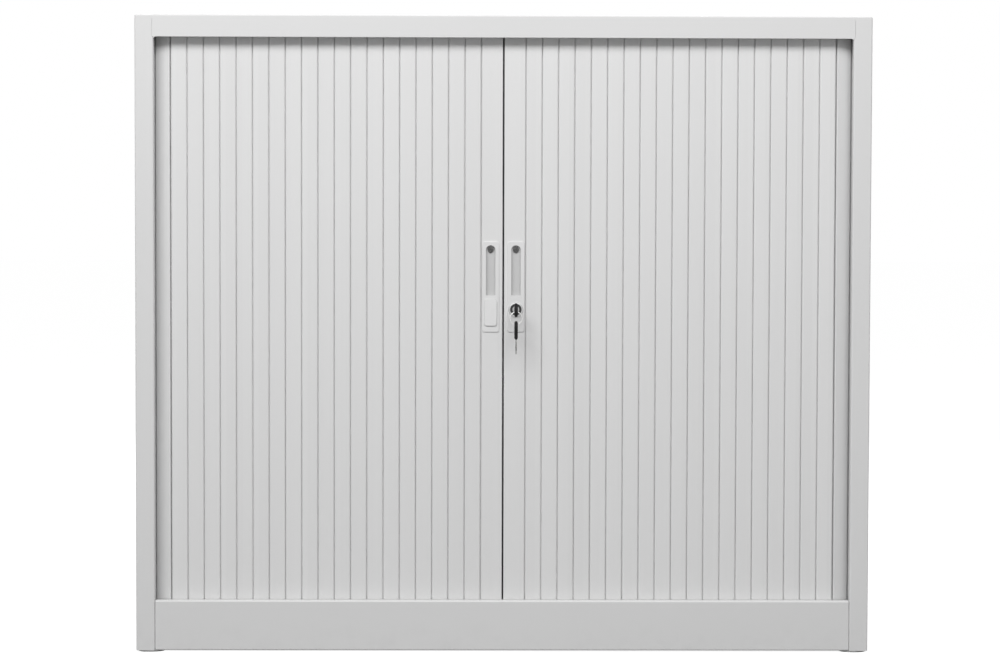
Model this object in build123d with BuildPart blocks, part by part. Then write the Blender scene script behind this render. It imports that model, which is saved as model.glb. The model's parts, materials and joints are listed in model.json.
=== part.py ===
from build123d import *
import os
from math import asin, cos, degrees, hypot, pi, radians, sqrt

# Storage cabinet with two side-opening roller shutters, in millimetres.
# X runs across the front to the right, Y from the front to the back, Z up from the floor.
# Left-hand pieces are modelled, and right-hand ones are their mirror image about X = 0.

# Carcass
cabinet_width = 1200.0
cabinet_height = 1040.0
cabinet_depth = 450.0
sheet = 1.0
bend_radius = 2.5
stile_width = 30.5
stile_return = 14.0
rear_flange = 20.0
fascia_height = 35.0
fascia_upturn = 8.0
lid_rim = 6.0
lid_edge_radius = 1.5
opening_radius = 5.0
plinth_height = 82.0
plinth_setback = 1.2
plinth_seam = 0.6
plinth_edge_radius = 2.5
plinth_flange = 15.0
plinth_downturn = 20.0
floor_gap = 2.5
panel_play = 0.4
seam = 0.3

# Shutter slats
slat_count = 19
side_slat_count = 4
slat_thickness = 7.0
slat_recess = 19.0
slat_groove = 2.0
slat_gap = 0.5
slat_lip = 2.2
slat_lip_radius = 1.2
slat_edge_radius = 0.8
tongue_thickness = 1.8
tongue_grip = 2.2
tongue_offset = 1.2
joint_play = 0.3
corner_radius = 45.0
run_offset = 11.3
lead_pitch = 36.4
centre_gap = 2.5
lead_wall = 1.5
lead_edge_radius = 1.5
corner_clearance = 8.0

# Tracks, guide shoes and end stops
track_wall = 2.0
track_play = 0.4
track_height = 12.0
groove_depth = 9.0
slat_seat = 0.3
lift_play = 3.0
track_head_gap = 1.0
shoe_foot = 5.0
shoe_spigot = 14.0
shoe_play = 0.2
stop_length = 25.0

# Inner lining, shelves and their clips
liner_gap = 1.0
liner_flange = 12.0
inner_wrap = 10.0
slot_width = 3.0
slot_height = 12.0
slot_pitch = 42.0
slot_setback = 40.0
lowest_slot = 60.0
lower_shelf_slot = 6
upper_shelf_slot = 13
shelf_thickness = 25.0
shelf_lip = 15.0
shelf_play = 1.2
clip_width = 22.0
clip_height = 16.0
clip_reach = 10.0
clip_chamfer = 6.0
clip_tongue = 3.0

# Handles
handle_width = 27.8
handle_height = 148.5
handle_thickness = 1.6
handle_corner = 4.0
handle_edge = 0.8
handle_centre = 20.7
pull_width = 15.4
pull_wall = 1.5
pull_gap = 0.5
pull_play = 0.2
pull_corner = 1.5
pull_rise = 60.0
pull_length = 82.2
screw_radius = 2.0
screw_length = 5.5
screw_head_radius = 4.6
screw_head_height = 2.2
screw_slot = 1.2
screw_play = 0.1
cap_width = 21.0
cap_height = 44.0
cap_rise = 32.0
cap_depth = 0.8
cap_proud = 2.0
cap_corner = 5.0
cap_edge = 0.6
cap_play = 0.2

# Lock and strike
lock_height = 562.0
lock_inset = 37.0
housing_radius = 9.0
housing_tail = 8.0
bezel_radius = 12.0
bezel_proud = 2.4
bezel_edge = 1.6
bezel_recess = 1.4
bezel_recess_radius = 9.2
barrel_radius = 6.0
barrel_proud = 0.5
bore_play = 0.05
lock_nut_radius = 12.0
lock_nut_thickness = 2.5
hook_play = 0.3
hook_thickness = 2.5
hook_width = 9.0
hook_eye_radius = 7.0
hook_nose_width = 4.0
hook_clearance = 0.5
stub_radius = 4.0
hook_nut_radius = 6.5
hook_nut_thickness = 3.0
strike_pin_radius = 2.5
strike_pin_inset = 9.0
strike_pin_spare = 1.5
strike_width = 13.0
strike_height = 34.0
strike_thickness = 1.5
strike_screw_inset = 5.0
strike_head_radius = 3.2
strike_head_height = 1.2
strike_screw_radius = 1.5
strike_screw_length = 3.0

# Keys and their ring
blade_thickness = 2.0
blade_width = 7.0
blade_inserted = 19.0
blade_notch = 1.4
blade_notch_pitch = 3.6
blade_notch_count = 4
keyway_play = 0.1
key_neck = 5.0
key_tang = 8.0
bow_radius = 11.35
bow_thickness = 5.6
bow_length = 30.0
bow_collar = 10.0
bow_bevel = 2.4
bow_bevel_depth = 1.3
bow_hole_edge = 0.8
bow_hole_radius = 4.5
bow_web = 4.0
ring_radius = 10.0
ring_wire = 0.8
ring_play = 0.4
ring_turn_play = 0.1

# Levelling feet
pad_radius = 22.5
pad_inset = 0.3
pad_flange = 2.2
pad_taper = 1.5
hub_radius = 9.0
hub_height = 14.0
stud_radius = 5.0
stud_length = 33.0
stud_tip_radius = 4.0
stud_tip_depth = 6.0
stud_gap = 0.3
stud_collar_radius = 9.2
stud_collar_height = 5.0
gusset_length = 70.0
gusset_sheet = 2.0
gusset_downturn = 18.0
bush_radius = 8.0
bush_height = 12.0
bush_drop = 4.0

# Rivets of the back panel
rivet_radius = 2.0
rivet_head_radius = 4.0
rivet_head_height = 1.6
rivet_tail = 1.0
rivet_rows = 6

# Places along the depth: the spare key is foremost and the rivet heads are hindmost
half_width = cabinet_width / 2
bow_hole_inset = bow_hole_radius + bow_web
key_shank = key_neck + bow_length - bow_hole_inset
lock_proud = handle_thickness + bezel_proud + barrel_proud
key_out = key_shank + bow_radius + lock_proud - slat_recess
front = (key_out - cabinet_depth - rivet_head_height) / 2
back = front + cabinet_depth
middle = (front + back) / 2
slat_front = front + slat_recess
slat_back = slat_front + slat_thickness
front_run = (slat_front + slat_back) / 2
rear_run = back - run_offset - sheet
run_middle = (front_run + rear_run) / 2
run_depth = rear_run - front_run

# Places across the width
opening_half = half_width - stile_width
side_run = half_width - run_offset
corner_x = side_run - corner_radius
slat_pitch = (corner_x - lead_pitch) / slat_count
lead_inner = centre_gap / 2
lead_outer = lead_pitch - slat_groove / 2
lead_width = lead_outer - lead_inner
lead_middle = (lead_outer + lead_inner) / 2
front_corner_y = front_run + corner_radius
rear_corner_y = rear_run - corner_radius

# Slats are chords of the corner, so the track is wider on its inside by their bulge
chord_angle = 2 * asin(slat_pitch / (2 * corner_radius))
corner_bulge = corner_radius * (1 - cos(chord_angle / 2))
groove_out = slat_thickness / 2 + track_play
groove_in = slat_thickness / 2 + corner_bulge + track_play
track_out = groove_out + track_wall
track_in = groove_in + track_wall

# Heights
sill = floor_gap + plinth_height
fascia_bottom = cabinet_height - fascia_height
lid_base = cabinet_height - lid_rim
panel_top = lid_base - panel_play
lower_track = sill - track_height
lower_groove = sill - groove_depth
upper_track = fascia_bottom + track_head_gap
upper_groove = upper_track + groove_depth
ceiling = upper_track + track_height
slat_bottom = lower_groove + slat_seat
slat_top = upper_groove - lift_play
mid_height = (lower_track + ceiling) / 2

# Linings and shelves
liner_x = side_run - track_in - liner_gap
inner_back = rear_run - track_in - liner_gap
liner_end = rear_corner_y - inner_wrap
inner_corner = corner_radius - track_in - liner_gap
slot_rows = 1 + int((ceiling - sill - 2 * lowest_slot) / slot_pitch)
slot_lines = (front_corner_y + slot_setback, liner_end - slot_setback)


def facing(y):
    """The upright plane across the cabinet at y, with its normal to the front."""
    return Plane.XZ.offset(-y)


def slot_z(row):
    """The middle height of a row of shelf slots."""
    return sill + lowest_slot + row * slot_pitch


def save(piece, name):
    """Label a finished piece and write it to its own file."""
    piece.part.label = name
    export_step(piece.part, f"parts/{name}.step")


def mirror_image(piece):
    """The right-hand copy of a left-hand piece."""
    with BuildPart() as copy:
        mirror(piece.part, about=Plane.YZ)
    return copy


def save_pair(piece, name):
    """Write a left-hand piece, and its mirror image as the right-hand one."""
    save(piece, f"left_{name}")
    save(mirror_image(piece), f"right_{name}")


os.makedirs("parts", exist_ok=True)

# ---------------------------------------------------------------- carcass

# Side panel: one folded sheet with the front stile, its return and the rear flange
rivet_step = (lid_base - floor_gap) / rivet_rows
rivet_x = half_width - rear_flange / 2
rivet_places = [
    Location((-rivet_x, back, floor_gap + (row + 0.5) * rivet_step)) for row in range(rivet_rows)
]
with BuildPart() as side_panel:
    with BuildSketch(Plane.XY.offset(floor_gap)):
        with BuildLine():
            fold = FilletPolyline(
                (rear_flange - half_width, back),
                (-half_width, back),
                (-half_width, front),
                (-opening_half, front),
                (-opening_half, front + stile_return),
                radius=bend_radius,
            )
            offset(fold, amount=sheet, side=Side.LEFT)
        make_face()
    extrude(amount=lid_base - floor_gap)
    # The fascia reaches over the bend of the stile, so the stile ends there at its flat
    with Locations((-opening_half, front, fascia_bottom)):
        Box(
            2 * bend_radius,
            2 * (stile_return + sheet),
            lid_base - fascia_bottom,
            align=(Align.CENTER, Align.CENTER, Align.MIN),
            mode=Mode.SUBTRACT,
        )
    with Locations(rivet_places):
        Cylinder(rivet_radius + screw_play, 3 * sheet, rotation=(90, 0, 0), mode=Mode.SUBTRACT)
save_pair(side_panel, "side_panel")

# Top panel: a pan with a low rim, and the fascia folded from its front edge
with BuildPart() as lid_pan:
    with BuildSketch(Plane.XY.offset(lid_base)):
        with Locations((0, middle)):
            RectangleRounded(cabinet_width, cabinet_depth, bend_radius)
    extrude(amount=lid_rim)
    fillet(lid_pan.faces().sort_by(Axis.Z)[-1].edges(), lid_edge_radius)
    offset(amount=-sheet, openings=lid_pan.faces().sort_by(Axis.Z)[0])

fascia_half = opening_half + bend_radius - seam
with BuildPart() as top_panel:
    add(lid_pan.part)
    with BuildSketch(facing(front + sheet)):
        with Locations((0, fascia_bottom)):
            Rectangle(2 * fascia_half, lid_base - fascia_bottom, align=(Align.CENTER, Align.MIN))
            Rectangle(2 * (opening_half - seam), opening_radius, align=(Align.CENTER, Align.MAX))
        with Locations((0, (sill + fascia_bottom) / 2)):
            RectangleRounded(
                2 * opening_half, fascia_bottom - sill, opening_radius, mode=Mode.SUBTRACT
            )
    extrude(amount=sheet)
    with BuildSketch(Plane.YZ) as lip:
        with BuildLine():
            lip_fold = FilletPolyline(
                (front, fascia_bottom),
                (front + stile_return, fascia_bottom),
                (front + stile_return, fascia_bottom + fascia_upturn),
                radius=bend_radius,
            )
            offset(lip_fold, amount=sheet, side=Side.LEFT)
        make_face()
    extrude(amount=opening_half - seam, both=True)
save(top_panel, "top_panel")

# Plinth: a folded channel between the stiles, whose top edge is the sill of the opening
ledge_back = front_run - track_out
with BuildPart() as plinth:
    with BuildSketch(Plane.YZ):
        with BuildLine():
            plinth_fold = FilletPolyline(
                (front + plinth_flange, floor_gap),
                (front + plinth_setback, floor_gap),
                (front + plinth_setback, sill),
                (ledge_back, sill),
                (ledge_back, sill - plinth_downturn),
                radius=(bend_radius, plinth_edge_radius, bend_radius),
            )
            offset(plinth_fold, amount=sheet, side=Side.RIGHT)
        make_face()
    extrude(amount=opening_half - plinth_seam, both=True)
    fillet(plinth.faces().sort_by(Axis.Y)[0].edges().filter_by(Axis.Z), sheet / 2)
save(plinth, "plinth")

# Base panel: a tray turned over, raised inside the track to the level of the sill
base_half = half_width - sheet - panel_play
base_back = back - 2 * sheet - panel_play
raised_inset = track_in + panel_play


def raised_outline(inset):
    """The raised floor inside the track, less an inset."""
    with BuildSketch() as outline:
        with Locations((0, run_middle)):
            RectangleRounded(
                2 * (side_run - raised_inset - inset),
                run_depth - 2 * (raised_inset + inset),
                corner_radius - raised_inset - inset,
            )
    return outline.sketch


with BuildPart() as base_panel:
    with BuildSketch(Plane.XY.offset(lower_track)) as base_outline:
        with Locations((0, (ledge_back + base_back) / 2)):
            Rectangle(2 * base_half, base_back - ledge_back)
    extrude(amount=-(plinth_downturn - track_height))
    with BuildSketch(Plane.XY.offset(lower_track - sheet)):
        with Locations((0, (ledge_back + base_back) / 2)):
            Rectangle(2 * (base_half - sheet), base_back - ledge_back - 2 * sheet)
    extrude(amount=-plinth_downturn, mode=Mode.SUBTRACT)
    with BuildSketch(Plane.XY.offset(lower_track)):
        add(raised_outline(0))
    extrude(amount=track_height)
    with BuildSketch(Plane.XY.offset(lower_track - sheet)):
        add(raised_outline(sheet))
    extrude(amount=track_height, mode=Mode.SUBTRACT)
save(base_panel, "base_panel")

# Ceiling panel: an upturned tray under the top, which carries the upper track
ceiling_inset = max(bend_radius + sheet, lid_edge_radius)
ceiling_half = half_width - ceiling_inset
ceiling_back = back - ceiling_inset
ceiling_middle = (ledge_back + ceiling_back) / 2
with BuildPart() as ceiling_panel:
    with BuildSketch(Plane.XY.offset(ceiling)):
        with Locations((0, ceiling_middle)):
            Rectangle(2 * ceiling_half, ceiling_back - ledge_back)
    extrude(amount=cabinet_height - sheet - ceiling)
    offset(amount=-sheet, openings=ceiling_panel.faces().sort_by(Axis.Z)[-1])
save(ceiling_panel, "ceiling_panel")

# Back panel inside the rear flanges
back_half = half_width - bend_radius - panel_play
with BuildPart() as back_panel:
    with BuildSketch(facing(back - sheet)):
        with Locations((0, (floor_gap + panel_top) / 2)):
            Rectangle(2 * back_half, panel_top - floor_gap)
    extrude(amount=sheet)
    with Locations(rivet_places):
        with Locations((0, -sheet, 0), (2 * rivet_x, -sheet, 0)):
            Cylinder(rivet_radius + screw_play, 3 * sheet, rotation=(90, 0, 0), mode=Mode.SUBTRACT)
save(back_panel, "back_panel")

# Rivets through both rear flanges and the back panel
rivet_grip = 2 * sheet + rivet_tail
with BuildPart() as rivet:
    Cylinder(rivet_radius, rivet_grip, align=(Align.CENTER, Align.CENTER, Align.MAX))
    Cylinder(rivet_head_radius, rivet_head_height, align=(Align.CENTER, Align.CENTER, Align.MIN))
    fillet(rivet.edges().sort_by(Axis.Z)[-1], rivet_head_height * 0.75)
with BuildPart() as back_rivets:
    for place in rivet_places:
        with Locations(place * Location((0, 0, 0), (-90, 0, 0))):
            add(rivet.part)
    mirror(about=Plane.YZ)
save(back_rivets, "back_rivets")

# ---------------------------------------------------------------- tracks


def rail_outline(outward, inward):
    """The straight runs of a band along the slats' path, without the corners."""
    corner_square = corner_radius + outward
    with BuildSketch() as outline:
        with Locations((0, run_middle)):
            Rectangle(2 * (side_run + outward), run_depth + 2 * outward)
            Rectangle(2 * (side_run - inward), run_depth - 2 * inward, mode=Mode.SUBTRACT)
            with GridLocations(
                2 * corner_x + corner_square, rear_corner_y - front_corner_y + corner_square, 2, 2
            ):
                Rectangle(corner_square, corner_square, mode=Mode.SUBTRACT)
    return outline.sketch


def corner_outline(outward, inward):
    """The front left quarter turn of a band along the slats' path."""
    corner_square = corner_radius + outward
    with BuildSketch() as outline:
        with Locations((-corner_x, front_corner_y)):
            Circle(corner_radius + outward)
            Circle(corner_radius - inward, mode=Mode.SUBTRACT)
            Rectangle(
                corner_square, corner_square, align=(Align.MAX, Align.MAX), mode=Mode.INTERSECT
            )
    return outline.sketch


with BuildPart() as lower_rails:
    with BuildSketch(Plane.XY.offset(lower_track)):
        add(rail_outline(track_out, track_in))
    extrude(amount=track_height)
    with BuildSketch(Plane.XY.offset(lower_groove)):
        add(rail_outline(groove_out, groove_in))
    extrude(amount=groove_depth, mode=Mode.SUBTRACT)
save(lower_rails, "lower_track_rails")

with BuildPart() as lower_corners:
    with BuildSketch(Plane.XY.offset(lower_track)):
        add(corner_outline(track_out, track_in))
    extrude(amount=track_height)
    with BuildSketch(Plane.XY.offset(lower_groove)):
        add(corner_outline(groove_out, groove_in))
    extrude(amount=groove_depth, mode=Mode.SUBTRACT)
    mirror(about=Plane.YZ)
    mirror(about=facing(run_middle))
save(lower_corners, "lower_track_corners")

# The upper track is the lower one turned over
for lower_piece, upper_name in (
    (lower_rails, "upper_track_rails"),
    (lower_corners, "upper_track_corners"),
):
    with BuildPart() as upper_piece:
        mirror(lower_piece.part, about=Plane.XY.offset(mid_height))
    save(upper_piece, upper_name)

# ---------------------------------------------------------------- shutters

# Hinge points of the slats that lie round the corner and along the side
turned_count = int(radians(90) / chord_angle)
corner_middle = Vector(-corner_x, front_corner_y)
hinge_points = [
    corner_middle + Vector(0, -corner_radius).rotate(Axis.Z, degrees(-turn * chord_angle))
    for turn in range(turned_count + 1)
]
last_turned = hinge_points[-1]
hinge_points.append(
    Vector(-side_run, last_turned.Y + sqrt(slat_pitch**2 - (side_run + last_turned.X) ** 2))
)
for _ in range(side_slat_count):
    hinge_points.append(hinge_points[-1] + Vector(0, slat_pitch))


def slat(first, last, tongue, socket, lips=True):
    """A slat from one end to the other along X, centred on its hinge line, front to +Y.

    Front lips reach over the groove and nearly meet those of the next slats.
    """
    with BuildPart() as bar:
        with BuildSketch(Plane.XY.offset(slat_bottom)) as profile:
            with Locations(((first + last) / 2, slat_thickness / 2)):
                Rectangle(last - first, slat_thickness, align=(Align.CENTER, Align.MAX))
                if lips:
                    Rectangle(
                        last - first + slat_groove - slat_gap,
                        slat_lip,
                        align=(Align.CENTER, Align.MAX),
                    )
            fillet(profile.vertices().group_by(Axis.Y)[-1], slat_lip_radius)
            fillet(profile.vertices().group_by(Axis.Y)[0], slat_edge_radius)
            if tongue:
                with Locations((last, -tongue_offset)):
                    Rectangle(
                        slat_groove + tongue_grip, tongue_thickness, align=(Align.MIN, Align.CENTER)
                    )
            if socket:
                with Locations((first, -tongue_offset)):
                    Rectangle(
                        tongue_grip + joint_play,
                        tongue_thickness + 2 * joint_play,
                        align=(Align.MIN, Align.CENTER),
                        mode=Mode.SUBTRACT,
                    )
        extrude(amount=slat_top - slat_bottom)
    return bar.part


def along(start, end):
    """The place of a slat whose hinge points are start and end."""
    return Plane(origin=start, x_dir=end - start, z_dir=(0, 0, 1)).location


flat_points = [Vector(-lead_pitch - slat_pitch * i, front_run) for i in range(slat_count + 1)]
flat_places = [along(start, end) for start, end in zip(flat_points, flat_points[1:])]
tail_places = [along(start, end) for start, end in zip(hinge_points, hinge_points[1:])]
slat_ends = (slat_groove / 2, slat_pitch - slat_groove / 2)
linked_slat = slat(*slat_ends, tongue=True, socket=True)
last_flat_slat = slat(*slat_ends, tongue=False, socket=True)
corner_slat = slat(*slat_ends, tongue=False, socket=False, lips=False)

with BuildPart() as curtain:
    with Locations(flat_places[:-1]):
        add(linked_slat)
    with Locations(flat_places[-1]):
        add(last_flat_slat)
save_pair(curtain, "curtain_slats")

with BuildPart() as corner_slats:
    with Locations(tail_places[: turned_count + 1]):
        add(corner_slat)
    with Locations(tail_places[turned_count + 1 :]):
        add(linked_slat)
save_pair(corner_slats, "corner_slats")

# End stops in the rear track, where the tail slat arrives when its shutter is fully open
travel = corner_x - lead_outer - corner_clearance
tail_left = rear_corner_y - hinge_points[-1].Y
stop_face = corner_x - (travel - tail_left - corner_radius * pi / 2)
with BuildPart() as track_stops:
    with Locations((-stop_face, rear_run + groove_out - track_play, lower_groove)):
        Box(
            stop_length,
            slat_thickness,
            groove_depth,
            align=(Align.MIN, Align.MAX, Align.MIN),
        )
    mirror(about=Plane.YZ)
    mirror(about=Plane.XY.offset(mid_height))
save(track_stops, "track_stops")

# Lead slats: hollow bars that carry the handles, with a guide shoe in each end
lead_bottom = slat_bottom + shoe_foot
lead_top = slat_top - shoe_foot
lead_plane = Plane(origin=(0, front_run, lead_bottom), x_dir=(-1, 0, 0), z_dir=(0, 0, 1))
handle_bottom = lock_height - lock_inset
pull_bottom = handle_bottom + pull_rise
handle_screw_z = pull_bottom + pull_length - pull_width / 2
pull_back = slat_back - lead_wall - pull_gap
pull_floor = pull_back - pull_wall


def pull_outline(margin):
    """The finger pull of the left handle with a margin around it: round at its top."""
    with BuildSketch() as outline:
        with Locations((-handle_centre, handle_screw_z)):
            Circle(pull_width / 2 + margin)
            Rectangle(
                pull_width + 2 * margin,
                handle_screw_z - pull_bottom + margin,
                align=(Align.CENTER, Align.MAX),
            )
        fillet(outline.vertices().group_by(Axis.Y)[0], pull_corner + margin)
    return outline.sketch


with BuildPart() as left_lead_slat:
    with BuildSketch(lead_plane) as lead_profile:
        with Locations((lead_middle, 0)):
            Rectangle(lead_width, slat_thickness)
        fillet(lead_profile.vertices().group_by(Axis.X)[0].sort_by(Axis.Y)[-1], lead_edge_radius)
        fillet(lead_profile.vertices().group_by(Axis.X)[-1], slat_edge_radius)
        with Locations((lead_outer, -tongue_offset)):
            Rectangle(slat_groove + tongue_grip, tongue_thickness, align=(Align.MIN, Align.CENTER))
        with Locations((lead_middle, 0)):
            Rectangle(lead_width - 2 * lead_wall, slat_thickness - 2 * lead_wall, mode=Mode.SUBTRACT)
    extrude(amount=lead_top - lead_bottom)
    # The tub of the finger pull sinks through the front wall, and its screw grips the back wall
    with BuildSketch(facing(slat_front + lead_wall)):
        add(pull_outline(pull_wall + pull_play))
    extrude(amount=lead_wall, mode=Mode.SUBTRACT)
    with Locations((-handle_centre, slat_back, handle_screw_z)):
        Cylinder(screw_radius + screw_play, 3 * lead_wall, rotation=(90, 0, 0), mode=Mode.SUBTRACT)

with BuildPart() as right_lead_slat:
    mirror(left_lead_slat.part, about=Plane.YZ)
    with Locations((handle_centre, front_run, lock_height)):
        Cylinder(
            housing_radius + screw_play, 2 * slat_thickness, rotation=(90, 0, 0), mode=Mode.SUBTRACT
        )
save(right_lead_slat, "right_lead_slat")

# Guide shoes run in the grooves and are as deep as the groove allows
shoe_front = groove_out - track_play
shoe_back = groove_in - track_play
with BuildPart() as guide_shoes:
    with BuildSketch(lead_plane.offset(-shoe_foot)) as foot_outline:
        with Locations((lead_middle, (shoe_front - shoe_back) / 2)):
            RectangleRounded(lead_width, shoe_front + shoe_back, lead_edge_radius)
    extrude(amount=shoe_foot)
    with BuildSketch(lead_plane):
        with Locations((lead_middle, 0)):
            Rectangle(
                lead_width - 2 * (lead_wall + shoe_play), slat_thickness - 2 * (lead_wall + shoe_play)
            )
    extrude(amount=shoe_spigot)
    mirror(about=Plane.XY.offset((slat_bottom + slat_top) / 2))
save_pair(guide_shoes, "guide_shoes")

# ---------------------------------------------------------------- handles

plate_front = slat_front - handle_thickness
handle_middle = handle_bottom + handle_height / 2
with BuildPart() as handle_plate:
    with BuildSketch(facing(slat_front)):
        with Locations((-handle_centre, handle_middle)):
            RectangleRounded(handle_width, handle_height, handle_corner)
    extrude(amount=handle_thickness)
    fillet(handle_plate.faces().sort_by(Axis.Y)[0].edges(), handle_edge)
    # Finger pull: a tub that hangs from the plate into the hollow of the lead slat
    with BuildSketch(facing(pull_back)):
        add(pull_outline(pull_wall))
    extrude(amount=pull_back - slat_front)
    with BuildSketch(facing(pull_floor)):
        add(pull_outline(0))
    extrude(amount=pull_floor - plate_front, mode=Mode.SUBTRACT)
    with Locations((-handle_centre, pull_back, handle_screw_z)):
        Cylinder(screw_radius + screw_play, 3 * pull_wall, rotation=(90, 0, 0), mode=Mode.SUBTRACT)

cap_place = (-handle_centre, handle_bottom + cap_rise)
with BuildPart() as left_handle:
    add(handle_plate.part)
    with BuildSketch(facing(plate_front + cap_depth)):
        with Locations(cap_place):
            RectangleRounded(cap_width, cap_height, cap_corner)
    extrude(amount=cap_depth, mode=Mode.SUBTRACT)
save(left_handle, "left_handle")

with BuildPart() as right_handle:
    mirror(handle_plate.part, about=Plane.YZ)
    with Locations((handle_centre, slat_front, lock_height)):
        Cylinder(
            housing_radius + screw_play, 3 * handle_thickness, rotation=(90, 0, 0), mode=Mode.SUBTRACT
        )
save(right_handle, "right_handle")

# Cap over the place of the lock in the left handle
with BuildPart() as lock_cap:
    with BuildSketch(facing(plate_front + cap_depth)):
        with Locations(cap_place):
            RectangleRounded(cap_width - 2 * cap_play, cap_height - 2 * cap_play, cap_corner - cap_play)
    extrude(amount=cap_depth + cap_proud)
    fillet(lock_cap.faces().sort_by(Axis.Y)[0].edges(), cap_edge)
save(lock_cap, "left_lock_cap")

# Screws that hold the handles, at the top of the finger pulls
with BuildPart() as handle_screw:
    with Locations((-handle_centre, pull_floor, handle_screw_z)):
        Cylinder(
            screw_head_radius,
            screw_head_height,
            rotation=(90, 0, 0),
            align=(Align.CENTER, Align.CENTER, Align.MIN),
        )
        fillet(handle_screw.faces().sort_by(Axis.Y)[0].edges(), screw_head_height / 2)
        Cylinder(
            screw_radius, screw_length, rotation=(90, 0, 0), align=(Align.CENTER, Align.CENTER, Align.MAX)
        )
    with Locations((-handle_centre, pull_floor - screw_head_height, handle_screw_z)):
        for length, width in ((screw_head_radius, screw_slot), (screw_slot, screw_head_radius)):
            Box(length, screw_head_height, width, mode=Mode.SUBTRACT)
save_pair(handle_screw, "handle_screw")

# ---------------------------------------------------------------- lock

lock_face = plate_front - bezel_proud
barrel_face = lock_face - barrel_proud
housing_back = slat_back + housing_tail
with BuildPart() as lock_housing:
    with BuildSketch(facing(plate_front)):
        with Locations((handle_centre, lock_height)):
            Circle(bezel_radius)
    extrude(amount=bezel_proud)
    fillet(lock_housing.faces().sort_by(Axis.Y)[0].edges(), bezel_edge)
    with BuildSketch(facing(housing_back)):
        with Locations((handle_centre, lock_height)):
            Circle(housing_radius)
    extrude(amount=housing_back - plate_front)
    with BuildSketch(facing(lock_face + bezel_recess)):
        with Locations((handle_centre, lock_height)):
            Circle(bezel_recess_radius)
    extrude(amount=bezel_recess, mode=Mode.SUBTRACT)
    with BuildSketch(facing(housing_back)):
        with Locations((handle_centre, lock_height)):
            Circle(barrel_radius + bore_play)
    extrude(amount=housing_back - lock_face, mode=Mode.SUBTRACT)
save(lock_housing, "lock_housing")

with BuildPart() as lock_nut:
    with BuildSketch(facing(slat_back + lock_nut_thickness)):
        with Locations((handle_centre, lock_height)):
            RegularPolygon(lock_nut_radius, 6)
            Circle(housing_radius + bore_play, mode=Mode.SUBTRACT)
    extrude(amount=lock_nut_thickness)
save(lock_nut, "lock_nut")

# Barrel with the keyway in its face, and a stub behind it for the hook
hook_front = housing_back + hook_play
hook_back = hook_front + hook_thickness
stub_back = hook_back + hook_nut_thickness
with BuildPart() as lock_barrel:
    with BuildSketch(facing(hook_front)):
        with Locations((handle_centre, lock_height)):
            Circle(barrel_radius)
    extrude(amount=hook_front - barrel_face)
    with BuildSketch(facing(stub_back)):
        with Locations((handle_centre, lock_height)):
            Circle(stub_radius)
    extrude(amount=stub_back - hook_front)
    with Locations((handle_centre, barrel_face, lock_height)):
        Box(
            blade_thickness + 2 * keyway_play,
            blade_inserted + joint_play,
            blade_width + 2 * keyway_play,
            align=(Align.CENTER, Align.MIN, Align.CENTER),
            mode=Mode.SUBTRACT,
        )
save(lock_barrel, "lock_barrel")

# Hook: stands up when unlocked, and its nose comes down behind the pin of the strike
pin_reach = handle_centre + strike_pin_inset
pin_drop = hook_width / 2 + hook_clearance + strike_pin_radius
nose_inner = pin_reach + strike_pin_radius + hook_clearance
nose_outer = nose_inner + hook_nose_width
nose_tip = pin_drop + strike_pin_radius
with BuildPart() as lock_hook:
    with BuildSketch(facing(hook_back)) as hook_outline:
        with Locations((handle_centre, lock_height)):
            Rectangle(hook_width, nose_outer, align=(Align.CENTER, Align.MIN))
            Circle(hook_eye_radius)
        with Locations((handle_centre + hook_width / 2, lock_height + nose_outer)):
            Rectangle(nose_tip + hook_width / 2, hook_nose_width, align=(Align.MAX, Align.MAX))
        fillet(hook_outline.vertices().group_by(Axis.Y)[-1], hook_nose_width / 2 - joint_play)
        with Locations((handle_centre, lock_height)):
            Circle(stub_radius + bore_play, mode=Mode.SUBTRACT)
    extrude(amount=hook_thickness)
save(lock_hook, "lock_hook")

with BuildPart() as hook_nut:
    with BuildSketch(facing(stub_back)):
        with Locations((handle_centre, lock_height)):
            RegularPolygon(hook_nut_radius, 6)
            Circle(stub_radius + bore_play, mode=Mode.SUBTRACT)
    extrude(amount=hook_nut_thickness)
save(hook_nut, "hook_nut")

# Strike on the back of the left lead slat: a plate with a riveted pin, and its two screws
pin_height = lock_height - pin_drop
strike_screw_reach = strike_height / 2 - strike_screw_inset
strike_screw_places = [
    Location((-strike_pin_inset, slat_back, pin_height + side * strike_screw_reach)) for side in (-1, 1)
]
with BuildPart() as strike_plate:
    with BuildSketch(facing(slat_back + strike_thickness)):
        with Locations((-strike_pin_inset, pin_height)):
            RectangleRounded(strike_width, strike_height, strike_pin_radius)
            Circle(strike_pin_radius, mode=Mode.SUBTRACT)
    extrude(amount=strike_thickness)
    with Locations(strike_screw_places):
        Cylinder(
            strike_screw_radius + screw_play, 3 * strike_thickness, rotation=(90, 0, 0), mode=Mode.SUBTRACT
        )
save(strike_plate, "strike_plate")

with BuildPart() as strike_pin:
    with Locations((-strike_pin_inset, slat_back, pin_height)):
        Cylinder(
            strike_pin_radius,
            hook_back + strike_pin_spare - slat_back,
            rotation=(-90, 0, 0),
            align=(Align.CENTER, Align.CENTER, Align.MIN),
        )
    chamfer(strike_pin.faces().sort_by(Axis.Y)[-1].edges(), strike_pin_radius / 5)
save(strike_pin, "strike_pin")

with BuildPart() as strike_screws:
    with Locations(strike_screw_places):
        Cylinder(strike_screw_radius, 2 * strike_screw_length, rotation=(90, 0, 0))
        with Locations((0, strike_thickness, 0)):
            Cylinder(
                strike_head_radius,
                strike_head_height,
                rotation=(-90, 0, 0),
                align=(Align.CENTER, Align.CENTER, Align.MIN),
            )
save(strike_screws, "strike_screws")

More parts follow.
